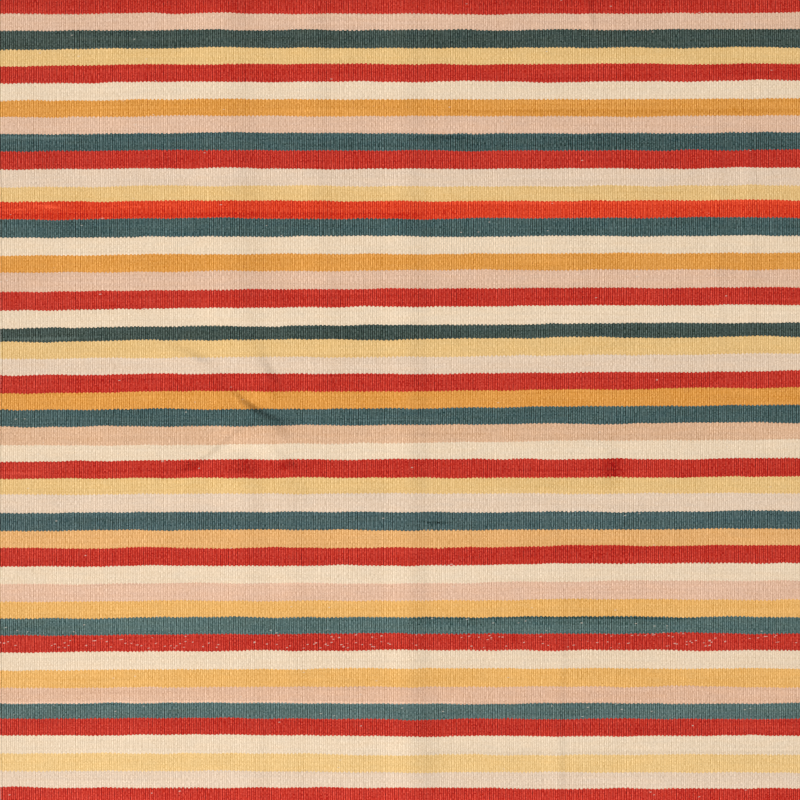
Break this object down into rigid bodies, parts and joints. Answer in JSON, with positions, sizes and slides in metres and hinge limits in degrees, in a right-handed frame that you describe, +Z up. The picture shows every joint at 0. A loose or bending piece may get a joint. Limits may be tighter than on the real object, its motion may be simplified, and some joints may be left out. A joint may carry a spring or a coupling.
{
  "type": "flat-woven striped rug",
  "caption": "Square flat-woven rug in narrow cross stripes, lying flat with a soft middle fold and a small pucker.",
  "frame": {"origin": "under the middle of the rug, on the surface that it lies on", "axes": "+Z up out of the surface, +X along the stripes and the weft, +Y along the warps"},
  "size_m": [1.003, 1.0022, 0.0088],
  "materials": {
    "woven_wool": "matte weft-faced wool in narrow dyed stripes"
  },
  "bodies": {
    "root": {"rug": "woven_wool"}
  },
  "joints": []
}
